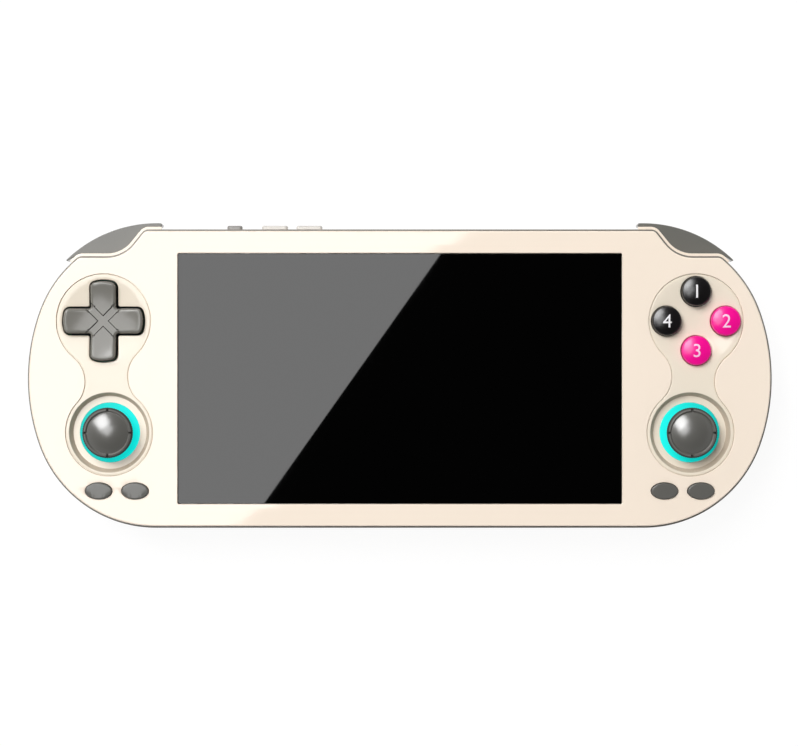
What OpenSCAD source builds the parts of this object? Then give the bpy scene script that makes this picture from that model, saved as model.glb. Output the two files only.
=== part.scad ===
// Handheld game console with a 5 inch screen, lying on its back with the screen up.
// X runs to the player's right, Y to the top edge, Z out of the screen. Sizes in mm.

/* [Case] */
// Width over the dark edge trim
body_w = 186.6; // [182:0.2:194]
// Height over the dark edge trim
body_h = 74.8; // [73:0.2:77]
// Radius of the two end arcs
end_r = 50; // [47:1:56]
// Radius of the four corner arcs
corner_r = 31; // [29:0.5:33]
// Back to front face
face_z = 16.6; // [16.2:0.1:19]
// Rounding of the back edge
back_r = 7; // [4:0.5:8]
// Wall of the rear shell
wall = 1.6; // [1.2:0.1:2]
// How far the edge trim stands out of the front shell
trim_proud = 0.5; // [0.3:0.1:0.8]

/* [Screen] */
// Width of the lens
screen_w = 110.9; // [104:0.5:112]
// Height of the lens
screen_h = 62.5; // [58:0.5:63]
// Gap round the lens
lens_gap = 0.15; // [0.1:0.05:0.25]

/* [Control plates] */
// Direction pad and button cluster, in from the case's ends
control_x = 19.2; // [18.2:0.1:19.4]
// Direction pad and button cluster, below the top edge
control_y = 23; // [22.4:0.1:23.4]
// Sticks, in from the case's ends
stick_x = 20.6; // [19.8:0.1:20.8]
// Sticks, above the bottom edge
stick_y = 23.9; // [23.2:0.1:24.2]
// Radius of a plate's upper lobe
lobe_top_r = 11.85; // [11.4:0.05:11.9]
// Radius of a plate's lower lobe
lobe_low_r = 10.95; // [10.7:0.05:11.1]
// Radius of the hollow on each side of a plate's waist
waist_r = 7.9; // [6:0.1:9]
// Seam between a plate and the front shell
seam = 0.14; // [0.08:0.02:0.2]

/* [Direction pad] */
// Length over two opposite arms
dpad_span = 19.8; // [19:0.1:21]
// Width of an arm
dpad_arm = 6.2; // [6:0.1:7.6]
// Gap round the pad in its opening
dpad_gap = 0.5; // [0.48:0.02:0.6]

/* [Action buttons] */
// Radius of a button
action_r = 3.7; // [3.5:0.05:4]
// Cluster middle to button middle
action_pitch = 7.4; // [7.2:0.05:7.5]
// Travel of a button
action_travel = 1.2; // [0.8:0.1:1.4]
// Gap round every push button
button_gap = 0.15; // [0.1:0.05:0.2]

/* [Sticks] */
// Radius of a stick's cap
cap_r = 6.3; // [5.8:0.1:6.5]
// Outer radius of the light ring
ring_r = 7.5; // [7.3:0.05:7.6]
// Radius of the well's mouth
well_r = 10; // [9.7:0.1:10.3]

/* [Oval buttons] */
// Length of an oval button
oval_w = 6.65; // [6.4:0.05:7.2]
// Width of an oval button
oval_h = 4; // [4:0.1:4.6]
// Outer ovals, in from the case's ends
oval_out_x = 18; // [17.4:0.1:18.4]
// Inner ovals, in from the case's ends
oval_in_x = 27.1; // [26.5:0.1:27.5]
// Ovals, above the bottom edge
oval_y = 9.3; // [9:0.1:9.6]

/* [Shoulder buttons] */
// Depth of the shoulder notch under the top edge
notch_drop = 6.7; // [6.6:0.1:7.2]
// Where the notch's flat ends and its hollow begins, in from the case's end
notch_x = 19.8; // [19:0.1:20]
// How far a bumper stands out of the corner
bumper_proud = 1.7; // [1.6:0.1:2.4]
// How far a trigger stands out of the corner
trigger_proud = 0.9; // [0.6:0.1:1.4]

/* [Edge keys] */
// Length of a volume key
key_w = 6.5; // [5.5:0.1:7]
// Length of the power key
power_w = 3.8; // [3.2:0.1:4.4]
// How far the keys stand out of the top edge
key_proud = 1.2; // [0.8:0.1:1.6]

/* [Hidden] */
$fn = 64;

// Overlap that keeps a cut from ending exactly on a face
eps = 0.02;
// Fit of a pressed or glued piece
snug = 0.02;
// Running fit of a pin in its bore
running = 0.05;
// Gap between a spring piece and what presses on it
touch = 0.05;

// Levels from the front face down
plate_t = 1.4;
plate_z = face_z - plate_t;
front_edge_r = 0.5;
trim_t = 1;
trim_w = 1.6;
rim_z = plate_z - trim_t;
inlay_sink = 0.2;
inlay_z = face_z - inlay_sink;
flange_t = 1.2;
flange_w = 1.2;
flange_gap = 0.1;
flange_z = plate_z - flange_t;
board_t = 1.2;
board_drop = 7.4;
board_z = face_z - board_drop;
under_board_z = board_z - board_t;
floor_t = 1.7;
shell_inset = trim_proud * 0.6;
inner_inset = shell_inset + wall;

// Places of the controls
half_w = body_w / 2;
half_h = body_h / 2;
pad_at = [half_w - control_x, half_h - control_y];
thumb_at = [half_w - stick_x, stick_y - half_h];
oval_xs = [half_w - oval_out_x, half_w - oval_in_x];
oval_row = oval_y - half_h;

// Outline of the case: end arcs and corner arcs that run into each other
end_x = half_w - end_r;
corner_y = half_h - corner_r;
corner_x = end_x + sqrt(pow(end_r - corner_r, 2) - pow(corner_y, 2));
join_a = atan2(corner_y, corner_x - end_x);
ring_points = 64;

function arc(c, r, a0, a1, n) =
  [for (i = [0:n]) let (a = a0 + (a1 - a0) * i / n) [c[0] + r * cos(a), c[1] + r * sin(a)]];
function reversed(p) = [for (i = [len(p) - 1:-1:0]) p[i]];
function quarter(d) = concat(
  arc([end_x, 0], end_r - d, join_a / 7, join_a * 5 / 7, 2),
  arc([corner_x, corner_y], corner_r - d, join_a, 90, 12));
function outline(d) = let (q = quarter(d)) concat(
  q,
  reversed([for (p = q) [-p[0], p[1]]]),
  [for (p = q) [-p[0], -p[1]]],
  reversed([for (p = q) [p[0], -p[1]]]));

// Slab with the case's outline, rounded at its back edge by r0 and at its front edge by r1
function round_rings(z0, z1, r0, r1) = concat(
  r0 > 0 ? [for (i = [0:5]) [r0 - r0 * sin(18 * i), z0 + r0 - r0 * cos(18 * i)]] : [[0, z0]],
  r1 > 0 ? [for (i = [0:3]) [r1 - r1 * cos(30 * i), z1 - r1 + r1 * sin(30 * i)]] : [[0, z1]]);
module rounded_slab(d, z0, z1, r0, r1) {
  rings = round_rings(z0, z1, r0, r1);
  n = ring_points;
  last = len(rings) - 1;
  polyhedron(
    points = [for (g = rings, p = outline(d + g[0])) [p[0], p[1], g[1]]],
    faces = concat(
      [[for (i = [0:n - 1]) i]],
      [for (k = [0:last - 1], i = [0:n - 1])
        [k * n + i, (k + 1) * n + i, (k + 1) * n + (i + 1) % n, k * n + (i + 1) % n]],
      [[for (i = [n - 1:-1:0]) last * n + i]]));
}

// Shoulder notch at the left corner: a rounded start, a flat, a hollow, a slope and a crown
notch_y = half_h - notch_drop;
hollow_r = 8.5;
slope_a = 51.4;
tail_r = 2.2;
crown_r = 2;
lip_w = 0.7;
left_corner = [-corner_x, corner_y];
hollow_c = [notch_x - half_w, notch_y + hollow_r];
tail_y = notch_y - tail_r;
tail_c = [-corner_x - sqrt(pow(corner_r - tail_r, 2) - pow(tail_y - corner_y, 2)), tail_y];
tail_a = atan2(tail_c[1] - corner_y, tail_c[0] + corner_x);
tip_a = tail_a + 4.4;
function slope_start(off) = arc(hollow_c, hollow_r - off, slope_a - 90, slope_a - 90, 1)[0];
function on_slope(off, y) = let (p = slope_start(off)) [p[0] + (y - p[1]) / tan(slope_a), y];
function crown(off) = let (
  r = crown_r + off,
  p = on_slope(off, half_h + off - r * (1 - cos(slope_a))))
  [p[0] + r * sin(slope_a), half_h - crown_r];
function notch_points(off) = concat(
  [left_corner + body_h * [cos(tail_a), sin(tail_a)]],
  arc(tail_c, tail_r + off, tail_a, 90, 4),
  arc(hollow_c, hollow_r - off, -90, slope_a - 90, 7),
  arc(crown(off), crown_r + off, 90 + slope_a, 90, 5),
  [[crown(off)[0], body_h], [-body_w, body_h]]);
function bay_points(off) = concat(
  [[-body_w, notch_y + off]],
  arc(hollow_c, hollow_r - off, -90, slope_a - 90, 7),
  [on_slope(off, body_h), [-body_w, body_h]]);
module both_sides() {
  children();
  mirror([1, 0, 0]) children();
}
module between(z0, z1) translate([0, 0, z0]) linear_extrude(z1 - z0) children();
module notches(off, z0, z1) both_sides() between(z0, z1) polygon(notch_points(off));

// Shoulder bay behind the notch, and the pin that its two buttons turn on
bay_in = 2.8;
bay_wall = 0.9;
bay_z0 = 4.2;
bay_roof = 0.8;
bay_z1 = rim_z - bay_roof;
pin_drop = 2.8;
pin_shift = 0.27;
pin_c = on_slope(-bay_in, half_h - pin_drop) + [pin_shift, 0];
pin_r = 0.75;
pin_foot = 1.4;
pin_head = 0.25;
barrel_r = 1.7;
pocket_r = 2.05;
shoulder_gap = 0.3;
shoulder_mid = bay_z0 + (bay_z1 - bay_z0) * 0.49;
tuck = 0.9;
shoulder_clear = 0.7;

// Control plates: an upper and a lower lobe with a waist between them
lobe_top = [-pad_at[0], pad_at[1]];
lobe_low = [-thumb_at[0], thumb_at[1]];
lobe_d = norm(lobe_top - lobe_low);
lobe_u = (lobe_low - lobe_top) / lobe_d;
reach_top = lobe_top_r + waist_r;
reach_low = lobe_low_r + waist_r;
fillet_s = (pow(reach_top, 2) - pow(reach_low, 2) + lobe_d * lobe_d) / (2 * lobe_d);
fillet_h = sqrt(pow(reach_top, 2) - pow(fillet_s, 2));
fillet_out = lobe_top + fillet_s * lobe_u + fillet_h * [lobe_u[1], -lobe_u[0]];
fillet_in = lobe_top + fillet_s * lobe_u - fillet_h * [lobe_u[1], -lobe_u[0]];
fillet_a = 8;
function bearing(a, b) = atan2(b[1] - a[1], b[0] - a[0]);
function up_to(a, b) = b < a ? up_to(a, b + 360) : b;
function down_to(a, b) = b > a ? down_to(a, b - 360) : b;
function lobe(c, r, from, to) = let (a = bearing(c, from)) arc(c, r, a, up_to(a, bearing(c, to)), 40);
function waist(c, r, from, to) = let (a = bearing(c, from) - fillet_a)
  arc(c, r, a, down_to(a, bearing(c, to) + fillet_a), 8);
function plate_points(off) = concat(
  lobe(lobe_top, lobe_top_r + off, fillet_in, fillet_out),
  waist(fillet_out, waist_r - off, lobe_top, lobe_low),
  lobe(lobe_low, lobe_low_r + off, fillet_out, fillet_in),
  waist(fillet_in, waist_r - off, lobe_low, lobe_top));

// Screws and posts
case_screw_in = 36.4;
case_screw_edge = 5;
side_screw_in = 6.6;
side_screw_y = (pad_at[1] + thumb_at[1]) / 2;
case_screw_at = [
  for (x = [-1, 1], y = [-1, 1]) [x * (half_w - case_screw_in), y * (half_h - case_screw_edge)],
  for (x = [-1, 1]) [x * (half_w - side_screw_in), side_screw_y]];
board_screw_in = 43;
board_screw_edge = 16.2;
board_screw_at = [
  for (x = [-1, 1], y = [-1, 1]) [x * (half_w - board_screw_in), y * (half_h - board_screw_edge)]];
screw_r = 0.9;
screw_head_r = 1.9;
screw_head_t = 1.3;
screw_head_z = 3;
screw_pad_w = 1.2;
screw_pad_z = 4.6;
screw_slot_w = 0.4;
boss_r = 2.2;
boss_split = board_z + 0.6;
boss_gap = 0.1;
screw_tip = 0.8;
board_post_r = 1.8;
board_screw_r = 0.75;
board_head_r = 1.6;
board_head_t = 0.9;
board_screw_z = floor_t + 1.4;

// Keys along the top edge and ports along the bottom edge
key_drop = 7.2;
key_z = face_z - key_drop;
key_t = 2.8;
power_x = -41.7;
volume_up_x = -31.55;
volume_down_x = -22.85;
key_flange = 0.8;
key_shoulder_y = half_h - inner_inset - 0.15;
port_face_y = inner_inset + 0.1 - half_h;
port_x = 0;
port_z = board_z + 1.65;
port_w = 8.94;
port_h = 3.2;
port_skin = 0.3;
port_d = 7.4;
card_x = -22;
card_z = under_board_z - 0.8;
card_w = 13.2;
card_h = 1.6;
card_d = 14;
card_skin = 0.3;
card_side = 0.9;
card_end = 1;
jack_x = 24;
jack_z = board_z - 0.7;
jack_r = 1.8;
jack_w = 6;
jack_h = 4.8;
jack_d = 12.6;
jack_mouth_r = 2.9;
speaker_x = 43.5;
speaker_w = 18;
speaker_d = 6.6;
speaker_slot_w = 1.1;
speaker_slot_h = 4;
speaker_pitch = 2.2;
// Length of a cut that passes right through an edge wall
through = 10;

module at_stick(side) translate([side * thumb_at[0], thumb_at[1], 0]) children();
module at_control(side) translate([side * pad_at[0], pad_at[1], 0]) children();
module at_buttons() at_control(1) for (a = [0:90:270]) rotate(a) translate([action_pitch, 0, 0]) children();
module disc(r, z0, z1) translate([0, 0, z0]) cylinder(r = r, h = z1 - z0);
module stadium(l, w) {
  square([l - w, w], center = true);
  translate([(l - w) / 2, 0]) circle(d = w);
  translate([(w - l) / 2, 0]) circle(d = w);
}
module oval(w, h) polygon([for (a = [0:7.5:352.5]) [w / 2 * cos(a), h / 2 * sin(a)]]);
module cross_shape(l, w, r) for (a = [0, 90]) rotate(a) {
  square([l, w - 2 * r], center = true);
  square([l - 2 * r, w], center = true);
  for (x = [-1, 1], y = [-1, 1]) translate([x * (l / 2 - r), y * (w / 2 - r)]) circle(r);
}

// Front shell, with a pocket for the lens and a window for the display
lens_pocket = 1;
lens_t = 0.95;
lens_ledge = 1.2;
module front_shell() color("ivory") difference() {
  union() {
    rounded_slab(trim_proud, plate_z, face_z, 0, front_edge_r);
    for (p = case_screw_at) translate(p) disc(boss_r, boss_split, plate_z + eps);
  }
  notches(-trim_proud, plate_z - eps, face_z + eps);
  between(face_z - lens_pocket, face_z + eps)
    square([screen_w + 2 * lens_gap, screen_h + 2 * lens_gap], center = true);
  between(plate_z - eps, face_z)
    square([screen_w - 2 * lens_ledge, screen_h - 2 * lens_ledge], center = true);
  both_sides() between(plate_z - eps, face_z + eps) polygon(plate_points(0));
  both_sides() for (x = oval_xs) translate([x, oval_row])
    between(plate_z - eps, face_z + eps) oval(oval_w + 2 * button_gap, oval_h + 2 * button_gap);
  for (p = case_screw_at) translate(p) disc(screw_r + running, boss_split - eps, plate_z - screw_tip / 2);
}

module edge_trim() color("dimgray") difference() {
  between(rim_z, plate_z) polygon(outline(0));
  notches(0, rim_z - eps, plate_z + eps);
  difference() {
    between(rim_z - eps, plate_z + eps) polygon(outline(trim_w));
    both_sides() between(rim_z - 1, plate_z + 1) polygon(bay_points(-trim_w));
  }
}

// Rear shell, with its screw posts, shoulder bays and openings along its edges
module rear_cavity() difference() {
  rounded_slab(inner_inset, floor_t, rim_z + 1, max(back_r - wall, 1), 0);
  both_sides() {
    between(0, rim_z) polygon(bay_points(-bay_in - bay_wall));
    translate(pin_c) disc(pocket_r + bay_wall, 0, rim_z);
  }
  for (p = case_screw_at) translate(p) {
    disc(boss_r, 0, boss_split - boss_gap);
    disc(screw_head_r + screw_pad_w, 0, screw_pad_z);
  }
  for (p = board_screw_at) translate(p) disc(board_post_r, 0, under_board_z);
}
plunger_slot = [1.8, 12, 1.6];
module plunger_slots() for (z = [board_z + plunger_z, under_board_z - plunger_z])
  translate([-pad_at[0], notch_y, z]) cube(plunger_slot, center = true);
module key_opening(x, w) translate([x, half_h, key_z])
  cube([w + 2 * button_gap, through, key_t + 2 * button_gap], center = true);
module edge_hole(x, z) translate([x, -half_h, z]) rotate([90, 0, 0])
  linear_extrude(through, center = true) children();
module rear_shell() color("linen") difference() {
  rounded_slab(shell_inset, 0, rim_z, back_r, 0);
  rear_cavity();
  notches(lip_w, bay_z1 - eps, rim_z + eps);
  both_sides() {
    between(flange_z - flange_gap, rim_z + eps) polygon(plate_points(flange_w + 2 * flange_gap));
    for (x = oval_xs) translate([x, oval_row])
      between(oval_relief_z, rim_z + eps) oval(oval_w + 2 * oval_relief_w, oval_h + 2 * oval_relief_w);
    between(bay_z0, bay_z1) polygon(bay_points(-bay_in));
    translate(pin_c) {
      disc(pocket_r, bay_z0, bay_z1);
      disc(pin_r + snug, bay_z0 - pin_foot - 0.1, rim_z - pin_head + touch);
    }
    plunger_slots();
  }
  for (p = case_screw_at) translate(p) {
    disc(screw_head_r + 0.2, -eps, screw_head_z);
    disc(screw_r + running, 1, boss_split);
  }
  for (p = board_screw_at) translate(p)
    disc(board_screw_r + running, board_screw_z - 0.4, under_board_z + eps);
  key_opening(power_x, power_w);
  key_opening(volume_up_x, key_w);
  key_opening(volume_down_x, key_w);
  edge_hole(port_x, port_z) stadium(port_w + 0.46, port_h + 0.4);
  edge_hole(card_x, card_z) square([card_w - 1.4, card_h - 0.2], center = true);
  edge_hole(jack_x, jack_z) circle(jack_mouth_r);
  both_sides() for (i = [-3:3]) edge_hole(speaker_x + speaker_pitch * i, key_z)
    rotate(90) stadium(speaker_slot_h, speaker_slot_w);
}

// Control plates, dished round the pad and the buttons, with the wells that the sticks stand in
well_t = 1.8;
well_floor_r = 9;
plate_dish = 0.8;
plate_dish_r = 11.2;
dpad_corner_r = 1.2;
function cup_ball_r(r, depth) = (r * r + depth * depth) / (2 * depth);
module cup(r, depth, z) translate([0, 0, z - depth + cup_ball_r(r, depth)]) sphere(cup_ball_r(r, depth));
module control_plate() difference() {
  union() {
    between(plate_z, inlay_z) polygon(plate_points(-seam));
    between(flange_z, plate_z) polygon(plate_points(flange_w));
  }
  at_control(-1) cup(plate_dish_r, plate_dish, inlay_z);
  at_stick(-1) {
    disc(ring_r + 0.1, flange_z - 1, face_z);
    translate([0, 0, inlay_z - well_t])
      cylinder(r1 = well_floor_r, r2 = well_r + (well_r - well_floor_r), h = 2 * well_t);
  }
}
module left_control_plate() color("seashell") difference() {
  control_plate();
  at_control(-1) between(flange_z - 1, face_z)
    cross_shape(dpad_span + 2 * dpad_gap, dpad_arm + 2 * dpad_gap, dpad_corner_r + dpad_gap / 2);
}
module right_control_plate() color("seashell") difference() {
  mirror([1, 0, 0]) control_plate();
  at_buttons() disc(action_r + button_gap, flange_z - 1, face_z);
}

// Lens, and the display bonded behind it
lcd_inset = 1.5;
lcd_t = 2.8;
lcd_z = face_z - lens_pocket - lcd_t;
ribbon_y = 12;
ribbon_w = 16;
ribbon_t = 0.3;
module screen_lens() color([0.02, 0.02, 0.02])
  between(face_z - lens_pocket, face_z - lens_pocket + lens_t) square([screen_w, screen_h], center = true);
module lcd_panel() color("black") between(lcd_z, lcd_z + lcd_t)
  square([screen_w - 2 * lcd_inset, screen_h - 2 * lcd_inset], center = true);
module lcd_ribbon() color("orange") translate([0, ribbon_y]) between(board_z, lcd_z)
  square([ribbon_w, ribbon_t], center = true);

// Main board: a middle, a wing under each side's controls and a tab to the ports
board_edge = 1.3;
board_top = half_h - 7.2;
board_low = 11.2 - half_h;
board_mid_x = half_w - 35;
wing_in = half_w - 37;
wing_top = half_h - 11.2;
wing_low = 6.2 - half_h;
tab_x = 30;
module block_2d(x0, y0, x1, y1) translate([x0, y0]) square([x1 - x0, y1 - y0]);
module board_shape() difference() {
  intersection() {
    polygon(outline(inner_inset + board_edge));
    union() {
      both_sides() block_2d(-half_w, wing_low, -wing_in, wing_top);
      block_2d(-board_mid_x, board_low, board_mid_x, board_top);
      block_2d(-tab_x, port_face_y, tab_x, board_low + 1);
    }
  }
  for (p = case_screw_at) translate(p) circle(boss_r + 0.4);
  for (p = board_screw_at) translate(p) circle(board_screw_r + 0.1);
  translate([jack_x - jack_w / 2 - 0.3, port_face_y]) square([jack_w + 0.6, jack_d + 0.4]);
}
module main_board() color("darkgreen") between(under_board_z, board_z) board_shape();
shield_at = [20, 6];
shield_w = 24;
shield_h = 18;
shield_t = 1.8;
shield_skin = 0.3;
module processor_shield() color("silver") translate(shield_at) difference() {
  between(board_z, board_z + shield_t) square([shield_w, shield_h], center = true);
  between(board_z - eps, board_z + shield_t - shield_skin)
    square([shield_w - 2 * shield_skin, shield_h - 2 * shield_skin], center = true);
}
battery_w = 84;
battery_h = 42;
battery_t = 4.6;
battery_y = 3;
battery_clear = 1.4;
module battery() color("lightgray") translate([0, battery_y])
  between(floor_t, min(floor_t + battery_t, under_board_z - battery_clear))
    square([battery_w, battery_h], center = true);

// Direction pad on its pivot ball, over a rubber membrane with four domes
dpad_proud = 1.7;
dpad_z = face_z + dpad_proud;
dpad_pivot_drop = 4.2;
dpad_pivot_z = face_z - dpad_pivot_drop;
dpad_low_drop = 4.4;
dpad_low_z = face_z - dpad_low_drop;
dpad_flange_t = 1;
dpad_flange_z = dpad_low_z + dpad_flange_t;
dpad_flange_r = 6.5;
dpad_dish = 0.9;
channel_w = 1.6;
channel_t = 0.5;
ball_r = 1.7;
post_r = 1.3;
membrane_r = 9.5;
membrane_t = 0.5;
dpad_dome_at = 7;
dome_r = 2;
module dpad() color("gray") at_control(-1) difference() {
  union() {
    between(dpad_low_z, dpad_z) cross_shape(dpad_span, dpad_arm, dpad_corner_r);
    disc(dpad_flange_r, dpad_low_z, dpad_flange_z);
  }
  translate([0, 0, dpad_pivot_z]) sphere(ball_r + running);
  cup(dpad_span / 2, dpad_dish, dpad_z);
  for (a = [45, 135]) rotate(a) intersection() {
    between(dpad_flange_z, dpad_z + eps) square([dpad_span, channel_w], center = true);
    cup(dpad_span / 2, dpad_dish, dpad_z - channel_t);
  }
}
module dpad_ball() color("white") at_control(-1) translate([0, 0, dpad_pivot_z]) sphere(ball_r);
module dpad_post() color("white") at_control(-1) difference() {
  disc(post_r, board_z, dpad_pivot_z);
  translate([0, 0, dpad_pivot_z]) sphere(ball_r + running);
}
module dpad_membrane() color("darkslategray") at_control(-1) difference() {
  union() {
    disc(membrane_r, board_z, board_z + membrane_t);
    for (a = [0:90:270]) rotate(a) translate([dpad_dome_at, 0, 0]) disc(dome_r, board_z, dpad_low_z - touch);
  }
  disc(dome_r, board_z - eps, board_z + 1);
}

// Action buttons: a domed cap, a flange that stops it and a stem on the membrane
action_proud = 1.7;
action_z = face_z + action_proud;
action_dome_r = 10;
action_stem_t = 0.8;
action_low_z = flange_z - action_stem_t - action_travel;
action_flange_z = flange_z - flange_gap;
action_flange_t = 0.9;
action_flange_w = 0.5;
module action_button(a) at_control(1) rotate(a) translate([action_pitch, 0, 0]) {
  intersection() {
    disc(action_r, action_flange_z - eps, action_z);
    translate([0, 0, action_z - action_dome_r]) sphere(action_dome_r);
  }
  disc(action_r + action_flange_w, action_flange_z - action_flange_t, action_flange_z);
  disc(dome_r, action_low_z, action_flange_z);
}
module button_north() color("black") action_button(90);
module button_east() color("deeppink") action_button(0);
module button_south() color("deeppink") action_button(270);
module button_west() color("black") action_button(180);
module action_membrane() color("darkslategray") union() {
  at_control(1) disc(membrane_r, board_z, board_z + membrane_t);
  at_buttons() disc(dome_r - 0.1, board_z, action_low_z - touch);
}

// Oval buttons in pairs under the sticks
oval_proud = 0.6;
oval_z = face_z + oval_proud;
oval_flange_w = 0.35;
oval_flange_t = 0.8;
oval_travel = 0.6;
oval_clear = 0.3;
oval_relief_w = oval_flange_w + oval_clear;
oval_relief_z = plate_z - flange_gap - oval_flange_t - oval_travel - oval_clear;
oval_drop = 4.6;
oval_low_z = face_z - oval_drop;
oval_stem_r = 1.2;
oval_pad = [12, 5];
module oval_button(x) translate([x, oval_row]) {
  between(plate_z - oval_flange_t, oval_z) oval(oval_w, oval_h);
  between(plate_z - flange_gap - oval_flange_t, plate_z - flange_gap)
    oval(oval_w + 2 * oval_flange_w, oval_h + 2 * oval_flange_w);
  disc(oval_stem_r, oval_low_z, plate_z - oval_flange_t);
}
module menu_button() color("gray") oval_button(-oval_xs[0]);
module function_button() color("gray") oval_button(-oval_xs[1]);
module select_button() color("dimgray") oval_button(oval_xs[1]);
module start_button() color("dimgray") oval_button(oval_xs[0]);
module oval_membrane() {
  translate([-(oval_xs[0] + oval_xs[1]) / 2, oval_row + 1])
    between(board_z, board_z + membrane_t) square(oval_pad, center = true);
  for (x = oval_xs) translate([-x, oval_row]) disc(oval_stem_r + 0.2, board_z, oval_low_z - touch);
}
module left_oval_membrane() color("darkslategray") oval_membrane();
module right_oval_membrane() color("darkslategray") mirror([1, 0, 0]) oval_membrane();

// Sticks: a cap on a shaft, whose cross pin turns in a gimbal ring, which turns in a base
pivot_drop = 5.2;
pivot_z = face_z - pivot_drop;
cap_proud = 2.1;
cap_z = face_z + cap_proud;
cap_t = 1.5;
cap_dome_r = 5.1;
cap_crown = 0.8;
cap_sphere_r = 11;
cap_groove_w = 0.35;
cap_groove_t = 0.5;
cap_notch_w = 0.6;
cap_notch_t = 0.35;
cap_neck_r = 2.4;
skirt_r = 5.9;
skirt_t = 0.7;
skirt_a = 62;
shaft_r = 1.5;
shaft_in = 0.65;
stick_pin_r = 0.8;
stick_pin_l = 14.6;
cross_pin_r = 0.7;
cross_pin_l = 8.4;
gimbal_r = 4.5;
gimbal_in_r = 3;
gimbal_t = 2;
base_w = 15;
base_in_r = 6.25;
base_floor = 0.25;
base_rim = 0.25;
ring_in_r = 5.5;
led_r = 9.2;
led_in_r = 6.2;
led_t = 0.8;
module stick_cap() difference() {
  union() {
    disc(cap_r, cap_z, cap_z + cap_t);
    intersection() {
      disc(cap_dome_r, cap_z, cap_z + cap_t + 2);
      translate([0, 0, cap_z + cap_t + cap_crown - cap_sphere_r]) sphere(cap_sphere_r);
    }
    disc(cap_neck_r, pivot_z + skirt_r - 1, cap_z + eps);
    rotate_extrude() intersection() {
      translate([0, pivot_z]) difference() {
        circle(skirt_r);
        circle(skirt_r - skirt_t);
      }
      translate([shaft_r + 0.1, pivot_z + skirt_r * cos(skirt_a)]) square(skirt_r);
    }
  }
  difference() {
    disc(cap_dome_r + cap_groove_w, cap_z + cap_t - cap_groove_t, cap_z + cap_t + 3);
    disc(cap_dome_r, cap_z, cap_z + cap_t + 4);
  }
  for (a = [0:90:270]) rotate(a)
    translate([cap_dome_r + 0.2, -cap_notch_w / 2, cap_z + cap_t - cap_notch_t]) cube([2, cap_notch_w, 1]);
  disc(shaft_r + snug, pivot_z - 2, cap_z + shaft_in + touch);
}
module stick_shaft() {
  disc(shaft_r, pivot_z - gimbal_t / 2, cap_z + shaft_in);
  translate([0, 0, pivot_z]) rotate([90, 0, 0]) cylinder(r = cross_pin_r, h = cross_pin_l, center = true);
}
module stick_gimbal() difference() {
  union() {
    disc(gimbal_r, pivot_z - gimbal_t / 2, pivot_z + gimbal_t / 2);
    translate([0, 0, pivot_z]) rotate([0, 90, 0]) cylinder(r = stick_pin_r, h = stick_pin_l, center = true);
  }
  disc(gimbal_in_r, pivot_z - gimbal_t, pivot_z + gimbal_t);
  translate([0, 0, pivot_z]) rotate([90, 0, 0])
    cylinder(r = cross_pin_r + running, h = 3 * gimbal_r, center = true);
}
module stick_base() difference() {
  between(board_z, pivot_z + gimbal_t / 2 + base_rim) square(base_w, center = true);
  disc(base_in_r, board_z + base_floor, pivot_z + 3);
  translate([0, 0, pivot_z]) rotate([0, 90, 0])
    cylinder(r = stick_pin_r + running, h = base_w + 5, center = true);
}
module light_ring() difference() {
  disc(ring_r, flange_z, inlay_z - well_t - flange_gap);
  disc(ring_in_r, 0, face_z);
}
module led_board() difference() {
  disc(led_r, flange_z - led_t, flange_z);
  disc(led_in_r, 0, face_z);
}
module left_stick_cap() color("dimgray") at_stick(-1) stick_cap();
module left_stick_shaft() color("silver") at_stick(-1) stick_shaft();
module left_stick_gimbal() color("black") at_stick(-1) stick_gimbal();
module left_stick_base() color("silver") at_stick(-1) stick_base();
module left_light_ring() color("cyan") at_stick(-1) light_ring();
module left_led_board() color("darkgreen") at_stick(-1) led_board();
module right_stick_cap() color("dimgray") at_stick(1) stick_cap();
module right_stick_shaft() color("silver") at_stick(1) stick_shaft();
module right_stick_gimbal() color("black") at_stick(1) stick_gimbal();
module right_stick_base() color("silver") at_stick(1) stick_base();
module right_light_ring() color("cyan") at_stick(1) light_ring();
module right_led_board() color("darkgreen") at_stick(1) led_board();

// Bumper above trigger on one pin, each with a switch on the main board
bumper_heel_a = 87.6;
trigger_heel = 2;
trigger_tip = 1;
tip_t = 0.35;
tail_clear = 1;
heel_drop = 1.6;
stem_w = 2.4;
stem_l = 3.4;
shelf_a = bearing(left_corner, on_slope(lip_w, half_h + shoulder_clear));
function off_corner(r, a) = left_corner + r * [cos(a), sin(a)];
function shoulder_points(r, heel_a, end_a) = concat(
  arc(left_corner, r, heel_a, end_a, 16),
  [off_corner(r - tip_t, end_a)],
  [off_corner(min(corner_r + tail_clear, r - tip_t), tail_a + (end_a - tail_a) / 4)],
  arc(tail_c, tail_r - tuck, tail_a, 90, 3),
  arc(hollow_c, hollow_r + tuck, -90, slope_a - 90, 7),
  [on_slope(-tuck, half_h - heel_drop)],
  arc(left_corner, min(corner_r + shoulder_clear, r - tip_t), shelf_a, heel_a + 0.5, 4));
module shoulder_button(r, heel_a, end_a, z0, z1) difference() {
  union() {
    between(z0, z1) polygon(shoulder_points(r, heel_a, end_a));
    translate(pin_c) {
      disc(barrel_r, z0, z1);
      rotate(90 + slope_a) translate([0, -stem_w / 2, z0]) cube([stem_l, stem_w, z1 - z0]);
    }
  }
  translate(pin_c) disc(pin_r + running, z0 - 1, z1 + 1);
}
module bumper()
  shoulder_button(
    corner_r + bumper_proud, bumper_heel_a, tip_a, shoulder_mid + shoulder_gap / 2, bay_z1 - shoulder_gap);
module trigger()
  shoulder_button(
    corner_r + trigger_proud, shelf_a - trigger_heel, tail_a + trigger_tip,
    bay_z0 + shoulder_gap, shoulder_mid - shoulder_gap / 2);
module shoulder_pin() translate(pin_c) disc(pin_r, bay_z0 - pin_foot, rim_z - pin_head);
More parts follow.
